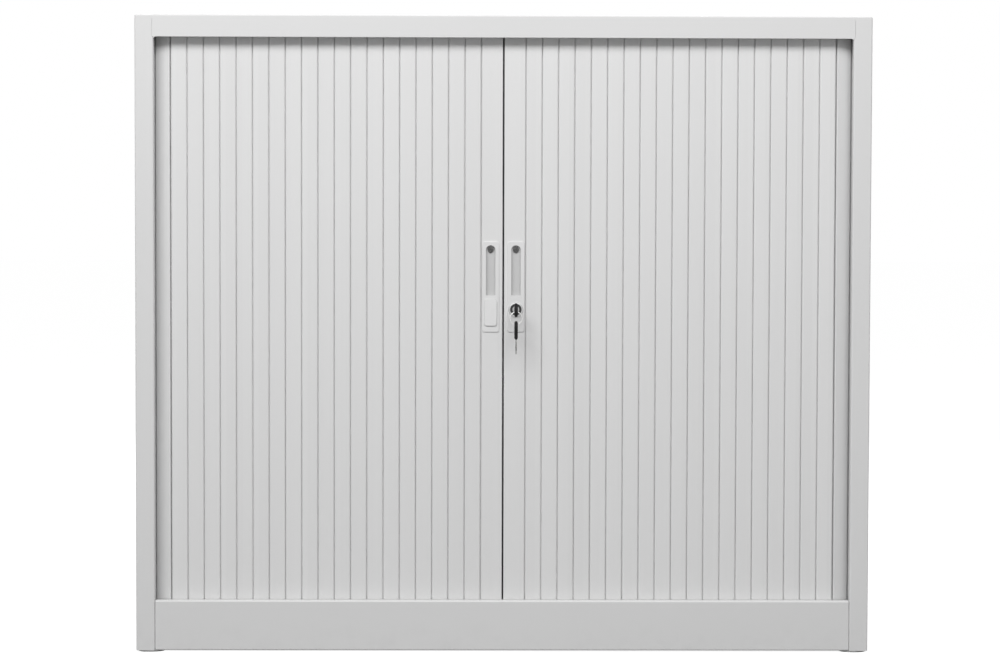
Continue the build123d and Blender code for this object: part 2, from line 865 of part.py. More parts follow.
with BuildPart() as finished_left_lead:
    add(left_lead_slat.part)
    with Locations(strike_screw_places):
        Cylinder(
            strike_screw_radius + screw_play, 3 * lead_wall, rotation=(90, 0, 0), mode=Mode.SUBTRACT
        )
save(finished_left_lead, "left_lead_slat")

# ---------------------------------------------------------------- keys

# A key is modelled about the hole of its bow, with the bow end to -Y and the blade to +Y
bow_centre = bow_radius - bow_hole_inset
bow_end = bow_length - bow_hole_inset
blade_end = bow_end + key_neck + blade_inserted
tang_start = bow_end - key_tang
with BuildPart() as key_blade:
    with BuildSketch(Plane.YZ) as blade_outline:
        with Locations((tang_start, 0)):
            Rectangle(blade_end - tang_start, blade_width, align=(Align.MIN, Align.CENTER))
        chamfer(blade_outline.vertices().group_by(Axis.X)[-1], blade_width / 3)
        for notch in range(blade_notch_count):
            with Locations((blade_end - blade_width - notch * blade_notch_pitch, -blade_width / 2)):
                Rectangle(2 * blade_notch, 2 * blade_notch, rotation=45, mode=Mode.SUBTRACT)
    extrude(amount=blade_thickness / 2, both=True)

with BuildPart() as key_bow:
    with BuildSketch(Plane.YZ):
        with Locations((bow_centre, 0)):
            Circle(bow_radius)
        with Locations((bow_centre, 0)):
            Rectangle(bow_end - bow_centre, bow_collar, align=(Align.MIN, Align.CENTER))
    extrude(amount=bow_thickness / 2, both=True)
    for side in (0, -1):
        bow_face = key_bow.faces().sort_by(Axis.X)[side]
        chamfer(bow_face.edges(), bow_bevel, bow_bevel_depth, reference=bow_face)
    Cylinder(bow_hole_radius, bow_thickness, rotation=(0, 90, 0), mode=Mode.SUBTRACT)
    chamfer(key_bow.edges(Select.LAST).filter_by(GeomType.CIRCLE), bow_hole_edge)
    with Locations((0, bow_end, 0)):
        Box(
            blade_thickness + 2 * bore_play,
            2 * (key_tang + bore_play),
            blade_width + 2 * bore_play,
            mode=Mode.SUBTRACT,
        )

# The first key is in the lock. The ring hangs in its bow, and the spare key in the ring
ring_y = barrel_face - key_shank
limb_bottom = sqrt(bow_radius**2 - bow_centre**2)
limb_middle = (limb_bottom + bow_hole_radius) / 2
limb_reach = hypot((limb_bottom - bow_hole_radius) / 2, bow_thickness / 2 - bow_hole_edge)
wire_rise = limb_reach + ring_turn_play + ring_wire
ring_centre = lock_height - limb_middle + wire_rise - ring_radius
spare_pivot = ring_centre - ring_radius
spare_hole = spare_pivot - (bow_hole_radius - ring_wire - ring_play)
key_place = Location((handle_centre, ring_y, lock_height))
spare_place = Location((handle_centre, ring_y, spare_hole), (-90, 0, 0))
for prefix, place in (("", key_place), ("spare_", spare_place)):
    for piece, name in ((key_blade, "key_blade"), (key_bow, "key_bow")):
        with BuildPart() as placed:
            with Locations(place):
                add(piece.part)
        save(placed, prefix + name)

with BuildPart() as key_ring:
    with Locations((handle_centre, ring_y, ring_centre)):
        Torus(ring_radius, ring_wire, rotation=(90, 0, 0))
save(key_ring, "key_ring")

# ---------------------------------------------------------------- lining and shelves

with BuildPart() as side_liner:
    with BuildSketch(Plane.XY.offset(sill)):
        with BuildLine():
            liner_fold = FilletPolyline(
                (liner_flange - liner_x, front_corner_y),
                (-liner_x, front_corner_y),
                (-liner_x, liner_end),
                radius=bend_radius,
            )
            offset(liner_fold, amount=sheet, side=Side.RIGHT)
        make_face()
    extrude(amount=ceiling - sill)
    with BuildSketch(Plane.YZ.offset(-liner_x)):
        with Locations([(y, slot_z(row)) for y in slot_lines for row in range(slot_rows)]):
            Rectangle(slot_width, slot_height)
    extrude(amount=sheet, mode=Mode.SUBTRACT)
save_pair(side_liner, "side_liner")

with BuildPart() as inner_back_panel:
    with BuildSketch(Plane.XY.offset(sill)):
        with BuildLine():
            wrap = FilletPolyline(
                (-liner_x, liner_end),
                (-liner_x, inner_back),
                (liner_x, inner_back),
                (liner_x, liner_end),
                radius=inner_corner,
            )
            offset(wrap, amount=sheet, side=Side.RIGHT)
        make_face()
    extrude(amount=ceiling - sill)
save(inner_back_panel, "inner_back_panel")

shelf_half = liner_x - sheet - shelf_play
shelf_front = front_corner_y + sheet + shelf_play
shelf_back = inner_back - sheet - shelf_play
shelf_corner = inner_corner - sheet - shelf_play


def shelf_outline(inset):
    """The plan of a shelf less an inset, with its rear corners round."""
    with BuildSketch() as outline:
        with Locations((0, (shelf_front + shelf_back) / 2)):
            Rectangle(2 * (shelf_half - inset), shelf_back - shelf_front - 2 * inset)
        fillet(outline.vertices().group_by(Axis.Y)[-1], shelf_corner - inset)
    return outline.sketch


for row, name in ((lower_shelf_slot, "lower_shelf"), (upper_shelf_slot, "upper_shelf")):
    shelf_z = slot_z(row) + clip_height / 2
    with BuildPart() as shelf:
        with BuildSketch(Plane.XY.offset(shelf_z)):
            add(shelf_outline(0))
        extrude(amount=shelf_thickness)
        with BuildSketch(Plane.XY.offset(shelf_z + sheet)):
            add(shelf_outline(sheet))
        extrude(amount=shelf_thickness - 2 * sheet, mode=Mode.SUBTRACT)
        with BuildSketch(Plane.XY.offset(shelf_z)):
            add(shelf_outline(shelf_lip))
        extrude(amount=sheet, mode=Mode.SUBTRACT)
    save(shelf, name)

with BuildPart() as shelf_clips:
    for row in (lower_shelf_slot, upper_shelf_slot):
        for y in slot_lines:
            with BuildSketch(facing(y + clip_width / 2)):
                with Locations((sheet - liner_x, slot_z(row))):
                    Polygon(
                        (0, -clip_height / 2),
                        (clip_reach - clip_chamfer, -clip_height / 2),
                        (clip_reach, clip_chamfer - clip_height / 2),
                        (clip_reach, clip_height / 2),
                        (0, clip_height / 2),
                        align=None,
                    )
            extrude(amount=clip_width)
            with Locations((sheet - liner_x, y, slot_z(row))):
                Box(
                    2 * (sheet + clip_tongue),
                    slot_width - 2 * joint_play,
                    slot_height - 2 * joint_play,
                )
    mirror(about=Plane.YZ)
save(shelf_clips, "shelf_clips")

# ---------------------------------------------------------------- levelling feet

foot_x = half_width - pad_inset - pad_radius
front_foot = front + pad_inset + pad_radius
rear_foot = back - pad_inset - pad_radius
inner_wall = half_width - sheet - panel_play
stud_bottom = hub_height - stud_tip_depth + stud_gap
collar_bottom = hub_height + stud_gap
collar_top = collar_bottom + stud_collar_height
bush_bottom = collar_top + stud_gap
gusset_bottom = bush_bottom + bush_drop

# Gussets in the corners, with the threaded bushes of the feet
with BuildPart() as corner_gussets:
    with BuildSketch(Plane.XY.offset(gusset_bottom)) as gusset_outline:
        with Locations((-inner_wall, front + gusset_length)):
            Rectangle(
                inner_wall - opening_half - sheet - panel_play,
                gusset_length - sheet - panel_play,
                align=(Align.MIN, Align.MAX),
            )
            Rectangle(
                gusset_length, gusset_length - stile_return - panel_play, align=(Align.MIN, Align.MAX)
            )
        with Locations((-inner_wall, base_back)):
            Rectangle(gusset_length, gusset_length, align=(Align.MIN, Align.MAX))
        fillet(gusset_outline.vertices().group_by(Axis.X)[0], bend_radius)
        with Locations((-foot_x, front_foot), (-foot_x, rear_foot)):
            Circle(bush_radius + bore_play, mode=Mode.SUBTRACT)
    extrude(amount=gusset_sheet)
    with Locations(
        (-inner_wall, front + gusset_length, gusset_bottom),
        (-inner_wall, base_back - bend_radius, gusset_bottom),
    ):
        Box(
            gusset_sheet,
            gusset_length - stile_return,
            gusset_downturn,
            align=(Align.MIN, Align.MAX, Align.MAX),
        )
    mirror(about=Plane.YZ)
save(corner_gussets, "corner_gussets")

foot_places = {
    "front_left": (-foot_x, front_foot),
    "front_right": (foot_x, front_foot),
    "rear_left": (-foot_x, rear_foot),
    "rear_right": (foot_x, rear_foot),
}
with BuildPart() as foot_bushes:
    with BuildSketch(Plane.XY.offset(bush_bottom)):
        with Locations(list(foot_places.values())):
            Circle(bush_radius)
            Circle(stud_radius + bore_play, mode=Mode.SUBTRACT)
    extrude(amount=bush_height)
save(foot_bushes, "foot_bushes")

for name, (x, y) in foot_places.items():
    with BuildPart() as pad:
        with Locations((x, y)):
            Cylinder(pad_radius, pad_flange, align=(Align.CENTER, Align.CENTER, Align.MIN))
            Cone(
                hub_radius + pad_taper,
                hub_radius,
                hub_height,
                align=(Align.CENTER, Align.CENTER, Align.MIN),
            )
        with Locations((x, y, hub_height)):
            Cylinder(
                stud_tip_radius + bore_play,
                stud_tip_depth,
                align=(Align.CENTER, Align.CENTER, Align.MAX),
                mode=Mode.SUBTRACT,
            )
    save(pad, f"{name}_foot_pad")
    with BuildPart() as stud:
        with Locations((x, y, stud_bottom)):
            Cylinder(
                stud_tip_radius, collar_bottom - stud_bottom, align=(Align.CENTER, Align.CENTER, Align.MIN)
            )
        with BuildSketch(Plane.XY.offset(collar_bottom)):
            with Locations((x, y)):
                RegularPolygon(stud_collar_radius, 6)
        extrude(amount=stud_collar_height)
        with Locations((x, y, collar_top)):
            Cylinder(stud_radius, stud_length, align=(Align.CENTER, Align.CENTER, Align.MIN))
        chamfer(stud.faces().sort_by(Axis.Z)[-1].edges(), sheet)
    save(stud, f"{name}_foot_stud")
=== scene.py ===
import json
import math

import bpy
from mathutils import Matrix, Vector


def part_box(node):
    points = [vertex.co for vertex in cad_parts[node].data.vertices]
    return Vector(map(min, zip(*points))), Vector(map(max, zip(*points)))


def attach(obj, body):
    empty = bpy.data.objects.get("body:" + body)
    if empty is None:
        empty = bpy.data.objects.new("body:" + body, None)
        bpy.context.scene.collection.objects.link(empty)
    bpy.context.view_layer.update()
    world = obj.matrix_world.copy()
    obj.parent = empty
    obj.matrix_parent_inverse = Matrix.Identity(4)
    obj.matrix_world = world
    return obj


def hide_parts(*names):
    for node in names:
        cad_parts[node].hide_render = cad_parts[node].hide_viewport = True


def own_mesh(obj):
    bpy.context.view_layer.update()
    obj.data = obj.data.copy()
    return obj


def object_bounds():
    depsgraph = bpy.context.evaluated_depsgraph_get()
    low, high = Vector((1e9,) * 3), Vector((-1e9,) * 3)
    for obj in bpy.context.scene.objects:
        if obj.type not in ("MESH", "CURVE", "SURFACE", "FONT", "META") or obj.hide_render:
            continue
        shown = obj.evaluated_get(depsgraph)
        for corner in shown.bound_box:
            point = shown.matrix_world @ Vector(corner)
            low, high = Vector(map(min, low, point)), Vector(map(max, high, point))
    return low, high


bl_info = {
    "name": "Roller Shutter Cabinet",
    "version": (1, 0, 0),
    "blender": (4, 5, 0),
    "location": "View3D > Sidebar > Cabinet",
    "description": "Hangs the curtains of a two-shutter cabinet, finishes its pieces and sets its stage",
    "category": "Object",
}

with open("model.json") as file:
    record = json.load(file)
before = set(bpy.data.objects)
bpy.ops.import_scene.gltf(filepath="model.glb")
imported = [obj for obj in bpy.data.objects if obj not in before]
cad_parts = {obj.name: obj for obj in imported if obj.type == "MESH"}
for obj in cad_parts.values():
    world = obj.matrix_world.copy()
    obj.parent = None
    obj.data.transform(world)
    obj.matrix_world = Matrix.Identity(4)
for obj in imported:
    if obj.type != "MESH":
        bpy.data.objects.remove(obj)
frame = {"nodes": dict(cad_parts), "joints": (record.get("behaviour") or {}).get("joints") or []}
cad_low, cad_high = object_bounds()

CURTAIN_SLATS = 19
SIDES = (("left", -1), ("right", 1))

# Sockets of Blender's Mix node when it mixes colours
MIX_FACTOR, MIX_FIRST, MIX_SECOND, MIX_COLOUR = 0, 6, 7, 2

# Where a finish changes over a piece: each pair is where its smooth step starts and ends, in metres
DUSTY_HEIGHT = (0.0, 0.075)
TOUCHED_REACH = (0.030, 0.060)
# Painted shade: where the darkening of the pull's tub behind the plate starts and ends
TUB_SHADE_EDGE = (-0.0004, 0.0030)
# Painted shade: where the black in the lock face's groove round the barrel starts and stops
GROOVE_SHADE_INNER_EDGE = (-0.0006, -0.0003)
GROOVE_SHADE_OUTER_EDGE = (0.0032, 0.0036)
GROOVE_SHADE_BACK = (0.0022, 0.0024)

DUST = (0.30, 0.29, 0.27)
BARE_STEEL = (0.34, 0.34, 0.34)
WHITE = (1.0, 1.0, 1.0, 1.0)

LAMP_SIZE = (4.6, 1.2)
LAMP_AIM = 0.55  # how high up the cabinet the lamps point, as a share of its height
FLOOR_RADIUS = 45.0
FLOOR_SIDES = 96
SENSOR_WIDTH = 36.0  # millimetres
FARTHEST_SEEN = 200.0

SHEET_STEEL = (
    "left_side_panel", "right_side_panel", "top_panel", "plinth", "base_panel", "ceiling_panel",
    "back_panel", "left_side_liner", "right_side_liner", "inner_back_panel", "lower_shelf", "upper_shelf",
)
SLATS = ("left_corner_slats", "right_corner_slats", "left_lead_slat", "right_lead_slat")
HANDLES = ("left_handle", "right_handle")
GUIDES = (
    "lower_track_rails", "lower_track_corners", "upper_track_rails", "upper_track_corners",
    "track_stops", "left_guide_shoes", "right_guide_shoes",
)
ZINC_FITTINGS = (
    "back_rivets", "shelf_clips", "corner_gussets", "foot_bushes", "strike_plate", "strike_pin",
    "strike_screws", "lock_nut", "lock_hook", "hook_nut", "front_left_foot_stud",
    "front_right_foot_stud", "rear_left_foot_stud", "rear_right_foot_stud",
)
FOOT_PADS = ("front_left_foot_pad", "front_right_foot_pad", "rear_left_foot_pad", "rear_right_foot_pad")
HANDLE_SCREWS = ("left_handle_screw", "right_handle_screw")
LOCK_PARTS = ("lock_housing", "lock_barrel")
KEY_BLADES = ("key_blade", "spare_key_blade")
KEY_BOWS = ("key_bow", "spare_key_bow")


# ------------------------------------------------------------------ sizes and colours


def length(name, description, default):
    """A length property in metres."""
    return bpy.props.FloatProperty(
        name=name,
        description=description,
        default=default,
        min=0.0,
        precision=5,
        subtype="DISTANCE",
        unit="LENGTH",
    )


def colour(name, description, default):
    """A colour property."""
    return bpy.props.FloatVectorProperty(
        name=name, description=description, default=default, min=0.0, max=1.0, size=3, subtype="COLOR"
    )


def share(name, description, default):
    """A property between 0 and 1."""
    return bpy.props.FloatProperty(
        name=name, description=description, default=default, min=0.0, max=1.0, subtype="FACTOR"
    )


def position(name, description, default):
    """A place in the scene, in metres."""
    return bpy.props.FloatVectorProperty(
        name=name,
        description=description,
        default=default,
        size=3,
        subtype="TRANSLATION",
        unit="LENGTH",
    )


def wattage(name, description, default):
    """The power of a lamp."""
    return bpy.props.FloatProperty(
        name=name, description=description, default=default, min=0.0, unit="POWER"
    )


class CurtainSizes(bpy.types.PropertyGroup):
    """Sizes of the curtain slats."""

    gap: length("Slat gap", "Gap between the faces of two slats", 0.0004)
    groove: length("Groove", "Gap between the bodies of two slats, behind their lips", 0.002)
    lip: length("Lip", "Thickness of the lips that reach over the groove", 0.0032)
    lip_radius: length("Lip radius", "Rounding of a slat's front edges", 0.0030)
    back_radius: length("Back radius", "Rounding of a slat's rear edges", 0.0008)
    tongue: length("Tongue", "Thickness of the tongue that links two slats", 0.0018)
    grip: length("Grip", "How far a tongue reaches into the next slat", 0.0022)
    play: length("Play", "Play round a tongue in its socket", 0.0003)
    tongue_back: length("Tongue offset", "How far the tongue lies behind the slat's middle", 0.0012)


class CabinetColours(bpy.types.PropertyGroup):
    """Colours of the cabinet's finishes."""

    paint: colour("Paint", "Powder coat of the sheet steel", (0.70, 0.70, 0.70))
    slat: colour("Slat", "Plastic of the shutter slats", (0.735, 0.735, 0.735))
    handle: colour("Handle", "Plastic of the handle mouldings", (0.735, 0.735, 0.735))
    guide: colour("Guide", "Low-friction plastic of the tracks and shoes", (0.50, 0.50, 0.49))
    cap: colour("Cap", "Plastic of the blank cap in the left handle", (0.76, 0.76, 0.76))
    foot: colour("Foot", "Grey plastic of the foot pads", (0.42, 0.42, 0.42))
    key_black: colour("Key bow", "Black plastic of the key bows", (0.010, 0.010, 0.010))
    zinc: colour("Zinc", "Zinc plate on the small fittings", (0.66, 0.67, 0.68))
    chrome: colour("Chrome", "Satin chrome of the lock", (0.48, 0.48, 0.48))
    # Painted shade, not a seal: the black laid in the groove round the lock's barrel
    seal: colour("Seal", "Black seal in the groove round the lock's barrel", (0.03, 0.03, 0.03))
    # Painted shade: the blades get a darker copy of the ring's nickel for the shade they hang in, not a
    # dulled plate
    blade: colour("Key blade", "Dulled nickel plate of the key blades", (0.32, 0.32, 0.315))
    ring: colour("Key ring", "Bright nickel plate of the key ring", (0.72, 0.72, 0.71))
    black_oxide: colour("Black oxide", "Finish of the handle screws", (0.10, 0.10, 0.10))


class StageSettings(bpy.types.PropertyGroup):
    """The camera, the lamps and the floor."""

    camera_place: position("Camera place", "Where the camera stands", (-0.054, -4.5, 0.704))
    camera_turn: bpy.props.FloatVectorProperty(
        name="Camera turn",
        description="How the camera is turned",
        default=(math.radians(87.577), math.radians(-0.153), math.radians(-0.644)),
        size=3,
        subtype="EULER",
        unit="ROTATION",
    )
    lens: bpy.props.FloatProperty(
        name="Lens",
        description="Focal length in millimetres, on a sensor 36 mm wide",
        default=94.6,
        min=10.0,
        unit="CAMERA",
    )
    key_place: position("Key lamp place", "Where the soft lamp above the front hangs", (-0.42, -2.6, 2.98))
    key_power: wattage("Key lamp", "Power of the soft lamp above the front", 126.0)
    rear_place: position("Rear lamp place", "Where the soft lamp behind the cabinet hangs", (0.42, 3.4, 1.9))
    rear_power: wattage("Rear lamp", "Power of the soft lamp behind the cabinet", 70.0)
    sky: share("Sky light", "Strength of the even light from all round", 0.29)
    floor_tone: share("Floor tone", "How much light the floor throws back", 0.33)
    floor_glow: share("Floor glow", "White that is added where the floor is seen directly", 0.90)


# ------------------------------------------------------------------ modelling helpers


def start_clean():
    """Leave edit mode and select nothing."""
    if bpy.context.object and bpy.context.object.mode != "OBJECT":
        bpy.ops.object.mode_set(mode="OBJECT")
    bpy.ops.object.select_all(action="DESELECT")


def take(piece):
    """Select just this piece, and make it the active one."""
    start_clean()
    piece.select_set(True)
    bpy.context.view_layer.objects.active = piece


def add_block(name, low, high):
    """A rectangular block between two corners, with its place in its mesh."""
    start_clean()
    middle = [(a + b) / 2 for a, b in zip(low, high)]
    reach = [b - a for a, b in zip(low, high)]
    bpy.ops.mesh.primitive_cube_add(size=1, location=middle, scale=reach)
    bpy.ops.object.transform_apply(location=True, rotation=True, scale=True)
    block = bpy.context.object
    block.name = name
    block.data.name = name
    return block


def pick(piece, kind, wanted):
    """Go into edit mode on the active piece, with just the faces or edges selected that pass the test."""
    bpy.ops.object.mode_set(mode="EDIT")
    bpy.ops.mesh.select_mode(type=kind)
    bpy.ops.mesh.select_all(action="DESELECT")
    bpy.ops.object.mode_set(mode="OBJECT")
    parts = piece.data.polygons if kind == "FACE" else piece.data.edges
    for part in parts:
        part.select = wanted(part)
    if not any(part.select for part in parts):
        raise RuntimeError(f"no {kind.lower()} of {piece.name} was picked")
    bpy.ops.object.mode_set(mode="EDIT")


def pick_faces(piece, wanted):
    """Select just the faces whose middle and normal pass the test, in edit mode."""
    pick(piece, "FACE", lambda face: wanted(face.center, face.normal))


def pick_edges(piece, wanted):
    """Select just the edges whose two ends pass the test, in edit mode."""
    pick(piece, "EDGE", lambda edge: wanted(*(piece.data.vertices[end].co for end in edge.vertices)))


def cut_across(place, normal):
    """Cut new edges round the whole active piece in one plane."""
    bpy.ops.object.mode_set(mode="EDIT")
    bpy.ops.mesh.select_all(action="SELECT")
    bpy.ops.mesh.bisect(plane_co=place, plane_no=normal)
    bpy.ops.object.mode_set(mode="OBJECT")


def push_out(x, y, z):
    """Extrude the selected faces by a distance."""
    bpy.ops.mesh.extrude_region_move(TRANSFORM_OT_translate={"value": (x, y, z)})


def near(a, b):
    """Whether two lengths are the same to a hundredth of a millimetre."""
    return abs(a - b) < 1e-5


def smooth(piece, degrees):
    """Shade smooth below an angle, and let the large faces keep their flat normals."""
    take(piece)
    bpy.ops.object.shade_smooth_by_angle(angle=math.radians(degrees))
    modifier = piece.modifiers.new("Flat faces", "WEIGHTED_NORMAL")
    modifier.keep_sharp = True
    bpy.ops.object.modifier_apply(modifier=modifier.name)


def travel_of(joint_name):
    """The longest travel of a slide."""
    joint = next(j for j in frame["joints"] if j["name"] == joint_name)
    return max(abs(limit) for limit in joint["range_m"])


def look_along(direction):
    """The turn of a lamp that shines along a direction."""
    x, y, z = direction
    across = math.hypot(x, y)
    return (math.atan2(across, -z), 0.0, math.atan2(-x, y))


# ------------------------------------------------------------------ shader helpers


class Signal:
    """A node's outlet that Python's arithmetic adds Math nodes to."""

    def __init__(self, nodes, outlet):
        self.nodes = nodes
        self.outlet = outlet

    def maths(self, operation, *values):
        """The outlet of a new Math node that has these values or links."""
        return self.nodes.add("ShaderNodeMath", {"operation": operation}, dict(enumerate(values)))

    def neighbour(self, name):
        """Another outlet of the same node."""
        return Signal(self.nodes, self.outlet.node.outputs[name])

    def __add__(self, other):
        return self.maths("ADD", self, other)

    def __radd__(self, other):
        return self.maths("ADD", other, self)

    def __sub__(self, other):
        return self.maths("SUBTRACT", self, other)

    def __rsub__(self, other):
        return self.maths("SUBTRACT", other, self)

    def __mul__(self, other):
        return self.maths("MULTIPLY", self, other)

    def __rmul__(self, other):
        return self.maths("MULTIPLY", other, self)

    def __truediv__(self, other):
        return self.maths("DIVIDE", self, other)

    def size(self):
        return self.maths("ABSOLUTE", self)

    def root(self):
        return self.maths("SQRT", self)

    def floor(self):
        return self.maths("FLOOR", self)

    def greater(self, other):
        return self.maths("MAXIMUM", self, other)


class Nodes:
    """An emptied node tree, and the one way in which nodes are added to it."""

    def __init__(self, tree):
        self.tree = tree
        self.tree.nodes.clear()

    def add(self, kind, settings, inlets, outlet=0):
        """Add a node, set its settings first and then its sockets, and give one outlet if it has any."""
        node = self.tree.nodes.new(kind)
        for key, value in settings.items():
            setattr(node, key, value)
        for key, value in inlets.items():
            if isinstance(value, Signal):
                self.tree.links.new(value.outlet, node.inputs[key])
            else:
                node.inputs[key].default_value = value
        return Signal(self, node.outputs[outlet]) if node.outputs else None

    def seen_directly(self):
        """1 for rays from the camera, off gloss or through glass, to which the stage shows white."""
        camera = self.add("ShaderNodeLightPath", {}, {}, "Is Camera Ray")
        gloss = camera.neighbour("Is Glossy Ray")
        glass = camera.neighbour("Is Transmission Ray")
        return camera.greater(gloss).greater(glass)


class Finish(Nodes):
    """A new material, with the patterns that the finishes are made of."""

    def __init__(self, name):
        self.material = bpy.data.materials.new(name)
        self.material.use_nodes = True
        super().__init__(self.material.node_tree)

    def axis(self, name):
        """One of the three object coordinates."""
        spot = self.add("ShaderNodeTexCoord", {}, {}, "Object")
        return self.add("ShaderNodeSeparateXYZ", {}, {"Vector": spot}, name)

    def noise(self, scale, detail, stretch=(1.0, 1.0, 1.0)):
        """Noise between 0 and 1 with about this many cells in a metre, times the stretch of each axis."""
        spot = self.add("ShaderNodeTexCoord", {}, {}, "Object")
        stretched = self.add("ShaderNodeMapping", {}, {"Vector": spot, "Scale": stretch})
        return self.add("ShaderNodeTexNoise", {}, {"Vector": stretched, "Scale": scale, "Detail": detail})

    def cells(self, scale):
        """A random grey for each crystal-like cell, with about this many cells in a metre."""
        spot = self.add("ShaderNodeTexCoord", {}, {}, "Object")
        inlets = {"Vector": spot, "Scale": scale}
        tints = self.add("ShaderNodeTexVoronoi", {"feature": "F1"}, inlets, "Color")
        return self.add("ShaderNodeSeparateColor", {}, {"Color": tints}, "Red")

    def band(self, signal, start, end):
        """0 below start, 1 above end, and a smooth step in between."""
        return self.add(
            "ShaderNodeMapRange",
            {"interpolation_type": "SMOOTHSTEP", "clamp": True},
            {"Value": signal, "From Min": start, "From Max": end},
        )

    def upward(self):
        """1 on faces that look straight up, and 0 or less on upright ones and undersides."""
        normal = self.add("ShaderNodeNewGeometry", {}, {}, "Normal")
        return self.add("ShaderNodeSeparateXYZ", {}, {"Vector": normal}, "Z")

    def blend(self, factor, first, second):
        """A colour between two colours."""
        inlets = {MIX_FACTOR: factor, MIX_FIRST: opaque(first), MIX_SECOND: opaque(second)}
        return self.add("ShaderNodeMix", {"data_type": "RGBA"}, inlets, MIX_COLOUR)

    def relief(self, height, depth, strength):
        """A bumped normal from a height between 0 and 1."""
        return self.add("ShaderNodeBump", {}, {"Height": height, "Distance": depth, "Strength": strength})

    def surface(self, inlets):
        """Finish with a Principled surface that has these socket values or links."""
        shader = self.add("ShaderNodeBsdfPrincipled", {}, inlets)
        self.add("ShaderNodeOutputMaterial", {}, {"Surface": shader})
        return self.material


def opaque(value):
    """A plain colour with its alpha added, or a signal as it is."""
    return value if isinstance(value, Signal) else (*value, 1.0)


def shade(base, factor):
    """A plain colour made darker or lighter."""
    return tuple(min(1.0, part * factor) for part in base)


def dress(names, material):
    """Give CAD nodes a material in place of their own."""
    for name in names:
        slots = frame["nodes"][name].data.materials
        slots.clear()
        slots.append(material)


# ------------------------------------------------------------------ finishes


def powder_coat(base):
    """Satin powder coat: orange peel, fine speckle, faint clouds and a little dust low down."""
    paint = Finish("powder_coat")
    cloud = paint.noise(2.6, detail=3.0)
    speckle = paint.noise(2400.0, detail=2.0)
    tone = 0.55 * cloud + 0.45 * speckle
    clean = paint.blend(tone, shade(base, 0.965), shade(base, 1.03))
    low_down = 1.0 - paint.band(paint.axis("Z"), *DUSTY_HEIGHT)
    dust = low_down * paint.band(paint.noise(38.0, detail=4.0), 0.42, 0.75)
    dusty = paint.blend(0.10 * dust, clean, shade(base, 0.72))
    peel = 0.7 * paint.noise(620.0, detail=2.0) + 0.3 * paint.noise(1900.0, detail=1.0)
    return paint.surface({
        "Base Color": dusty,
        "Roughness": 0.40 + 0.10 * cloud + 0.12 * dust,
        "Normal": paint.relief(peel, depth=0.00009, strength=0.5),
        "Specular IOR Level": 0.45,
    })


def slat_plastic(base, pitch):
    """Extruded slats: fine lines along their length, and each slat a little different."""
    slat = Finish("slat_plastic")
    number = (slat.axis("X") / pitch).floor()
    own_tone = slat.add("ShaderNodeTexWhiteNoise", {"noise_dimensions": "1D"}, {"W": number})
    lines = slat.noise(1.0, detail=2.0, stretch=(1300.0, 1300.0, 2.2))
    cloud = slat.noise(5.0, detail=2.0)
    tone = 0.45 * own_tone + 0.30 * lines + 0.25 * cloud
    return slat.surface({
        "Base Color": slat.blend(tone, shade(base, 0.975), shade(base, 1.022)),
        "Roughness": 0.38 + 0.12 * lines,
        "Normal": slat.relief(lines, depth=0.00003, strength=0.5),
        "Specular IOR Level": 0.45,
    })


def handle_moulding(name, base, pull_middle, plate_back):
    """Spark-eroded moulding, polished by fingers round the pull, with painted shade down in its tub."""
    handle = Finish(name)
    grain = 0.6 * handle.noise(2600.0, detail=2.0) + 0.4 * handle.cells(1700.0)
    cloud = handle.noise(40.0, detail=2.0)
    touched = 1.0 - handle.band((handle.axis("Z") - pull_middle).size(), *TOUCHED_REACH)
    # Painted shade: the tub floor behind the plate's back is darkened by a quarter
    painted_tub_shade = handle.band(handle.axis("Y") - plate_back, *TUB_SHADE_EDGE)
    clean = handle.blend(0.5 * grain + 0.5 * cloud, shade(base, 0.965), shade(base, 1.03))
    return handle.surface({
        "Base Color": handle.blend(painted_tub_shade, clean, shade(base, 0.75)),
        "Roughness": 0.46 + 0.08 * grain - 0.10 * touched,
        "Normal": handle.relief(grain, depth=0.00005, strength=0.5),
        "Specular IOR Level": 0.5,
    })


def guide_plastic(base):
    """Waxy low-friction plastic, rubbed along the tracks."""
    guide = Finish("guide_plastic")
    rub = guide.noise(1.0, detail=3.0, stretch=(14.0, 14.0, 420.0))
    cloud = guide.noise(60.0, detail=2.0)
    return guide.surface({
        "Base Color": guide.blend(0.5 * rub + 0.5 * cloud, shade(base, 0.92), shade(base, 1.06)),
        "Roughness": 0.30 + 0.16 * rub,
        "Normal": guide.relief(rub, depth=0.00004, strength=0.4),
    })


def grained_moulding(name, base, grain_scale, mottle, dusty):
    """Moulded plastic with a fine grain, and dust on what looks up."""
    moulding = Finish(name)
    grain = moulding.noise(grain_scale, detail=3.0)
    cloud = moulding.noise(110.0, detail=2.0)
    plain = moulding.blend(0.5 * grain + 0.5 * cloud, shade(base, 1.0 - mottle), shade(base, 1.0 + mottle))
    facing_up = moulding.band(moulding.upward(), 0.35, 1.0)
    dust = dusty * facing_up * moulding.band(cloud, 0.35, 0.7)
    return moulding.surface({
        "Base Color": moulding.blend(dust, plain, DUST),
        "Roughness": 0.52 + 0.16 * grain,
        "Normal": moulding.relief(grain, depth=0.00006, strength=0.5),
        "Specular IOR Level": 0.15,
    })


def zinc_plate(base):
    """Bright zinc: small crystals, and a hint of blue and straw passivation."""
    zinc = Finish("zinc_plate")
    crystals = zinc.cells(420.0)
    film = zinc.band(zinc.noise(55.0, detail=3.0), 0.35, 0.68)
    cool = (base[0] * 0.93, base[1] * 0.98, base[2] * 1.04)
    warm = (base[0] * 1.05, base[1], base[2] * 0.9)
    plated = zinc.blend(film, cool, warm)
    return zinc.surface({
        "Base Color": zinc.blend(0.35 * crystals, plated, shade(base, 0.72)),
        "Metallic": 0.96,
        "Roughness": 0.26 + 0.14 * crystals,
        "Normal": zinc.relief(crystals, depth=0.00003, strength=0.35),
    })


